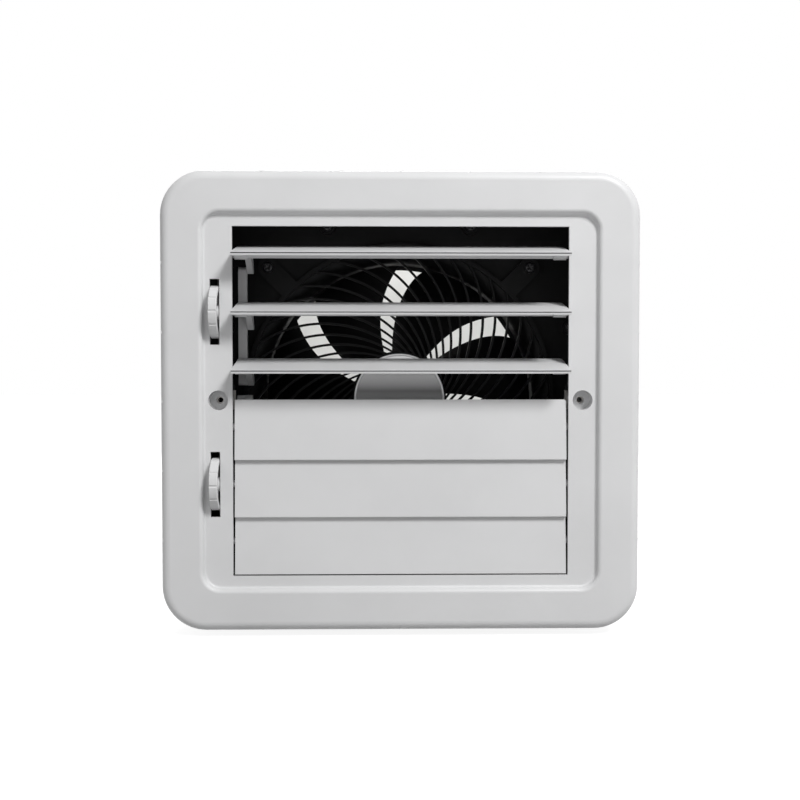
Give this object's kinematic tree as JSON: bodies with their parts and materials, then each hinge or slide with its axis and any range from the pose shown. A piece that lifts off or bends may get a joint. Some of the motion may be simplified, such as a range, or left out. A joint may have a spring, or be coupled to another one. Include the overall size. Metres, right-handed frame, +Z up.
{
  "type": "roof vent fan",
  "caption": "Square roof ventilator seen from the room: framed louvres in two banks worked by thumbwheels, with a guarded fan in a roof duct under a rain cowl.",
  "frame": {"origin": "centre of the roof opening on the underside of the roof flange", "axes": "+X right and +Z up as the room side is looked at, +Y from the room out through the roof"},
  "size_m": [0.344, 0.1632, 0.34],
  "materials": {
    "panel_plastic": "fine satin grey-white moulding",
    "louvre_plastic": "satin grey-white moulding",
    "wheel_plastic": "satin grey-white moulding",
    "black_plastic": "satin black moulding",
    "guard_plastic": "satin black moulding",
    "impeller_plastic": "satin black moulding",
    "holder_plastic": "brown moulding",
    "block_plastic": "pale moulding",
    "flange_plastic": "satin off-white moulding",
    "cowl_plastic": "smooth off-white moulding",
    "foam_rubber": "closed-cell foam",
    "soft_rubber": "smooth rubber",
    "zinc_steel": "bright zinc plate",
    "spring_steel": "dark oiled spring steel",
    "badge_metal": "satin turned",
    "motor_steel": "semi-gloss black paint",
    "shaft_steel": "ground",
    "core_steel": "laminated",
    "copper_wire": "enamelled",
    "copper_bar": "turned",
    "carbon": "pressed carbon",
    "magnet_ferrite": "sintered"
  },
  "bodies": {
    "housing": {"face_panel": "panel_plastic", "louvre_rail_upper_left": "black_plastic", "louvre_rail_upper_right": "black_plastic", "louvre_rail_lower_left": "black_plastic", "louvre_rail_lower_right": "black_plastic", "rail_screws": "zinc_steel", "duct_sleeve": "black_plastic", "sleeve_seal": "foam_rubber", "sleeve_screws": "zinc_steel", "clip_nuts": "spring_steel", "lead_gland": "soft_rubber", "terminal_block": "block_plastic", "roof_flange": "flange_plastic", "flange_gasket": "foam_rubber", "fan_plate": "black_plastic", "plate_screws": "zinc_steel", "fan_shroud": "black_plastic", "fan_guard": "guard_plastic", "fan_screws": "zinc_steel", "hub_badge": "badge_metal", "motor_front_cap": "motor_steel", "motor_can": "motor_steel", "bearing_front": "shaft_steel", "bearing_rear": "shaft_steel", "brushes": "carbon", "brush_holder": "holder_plastic", "magnets": "magnet_ferrite", "motor_screws": "zinc_steel", "rain_cowl": "cowl_plastic", "cowl_screws": "zinc_steel"},
    "upper_top_louvre": {"louvre_1": "louvre_plastic"},
    "upper_middle_louvre": {"louvre_2": "louvre_plastic", "thumbwheel_upper": "wheel_plastic"},
    "upper_bottom_louvre": {"louvre_3": "louvre_plastic"},
    "lower_top_louvre": {"louvre_4": "louvre_plastic"},
    "lower_middle_louvre": {"louvre_5": "louvre_plastic", "thumbwheel_lower": "wheel_plastic"},
    "lower_bottom_louvre": {"louvre_6": "louvre_plastic"},
    "upper_tie_bar": {"tie_bar_upper": "louvre_plastic"},
    "lower_tie_bar": {"tie_bar_lower": "louvre_plastic"},
    "rotor": {"impeller": "impeller_plastic", "impeller_nut": "zinc_steel", "motor_shaft": "shaft_steel", "armature_core": "core_steel", "armature_windings": "copper_wire", "commutator": "copper_bar"}
  },
  "joints": [
    {"name": "louvre_1_swing", "type": "hinge", "parent": "housing", "child": "upper_top_louvre", "pos_m": [0, -0.0475, 0.1056], "axis": [1, 0, 0], "range_deg": [0, 74.69]},
    {"name": "louvre_2_swing", "type": "hinge", "parent": "housing", "child": "upper_middle_louvre", "pos_m": [0, -0.0475, 0.0643], "axis": [1, 0, 0], "range_deg": [0, 74.69]},
    {"name": "louvre_3_swing", "type": "hinge", "parent": "housing", "child": "upper_bottom_louvre", "pos_m": [0, -0.0475, 0.023], "axis": [1, 0, 0], "range_deg": [0, 74.69]},
    {"name": "louvre_4_swing", "type": "hinge", "parent": "housing", "child": "lower_top_louvre", "pos_m": [0, -0.0475, -0.0183], "axis": [1, 0, 0], "range_deg": [-74.69, 0]},
    {"name": "louvre_5_swing", "type": "hinge", "parent": "housing", "child": "lower_middle_louvre", "pos_m": [0, -0.0475, -0.0596], "axis": [1, 0, 0], "range_deg": [-74.69, 0]},
    {"name": "louvre_6_swing", "type": "hinge", "parent": "housing", "child": "lower_bottom_louvre", "pos_m": [0, -0.0475, -0.1009], "axis": [1, 0, 0], "range_deg": [-74.69, 0]},
    {"name": "upper_bar_swing", "type": "hinge", "parent": "upper_middle_louvre", "child": "upper_tie_bar", "pos_m": [-0.1165, -0.02427, 0.05486], "axis": [1, 0, 0], "range_deg": [-74.69, 0]},
    {"name": "lower_bar_swing", "type": "hinge", "parent": "lower_middle_louvre", "child": "lower_tie_bar", "pos_m": [-0.1165, -0.03226, -0.03969], "axis": [1, 0, 0], "range_deg": [0, 74.69]},
    {"name": "fan_spin", "type": "hinge", "parent": "housing", "child": "rotor", "pos_m": [0, 0.04, 0], "axis": [0, 1, 0], "continuous": true}
  ],
  "couplings": [
    {"joint": "louvre_1_swing", "follows": "louvre_2_swing", "ratio": 1},
    {"joint": "louvre_3_swing", "follows": "louvre_2_swing", "ratio": 1},
    {"joint": "upper_bar_swing", "follows": "louvre_2_swing", "ratio": -1},
    {"joint": "louvre_4_swing", "follows": "louvre_5_swing", "ratio": 1},
    {"joint": "louvre_6_swing", "follows": "louvre_5_swing", "ratio": 1},
    {"joint": "lower_bar_swing", "follows": "louvre_5_swing", "ratio": -1}
  ]
}
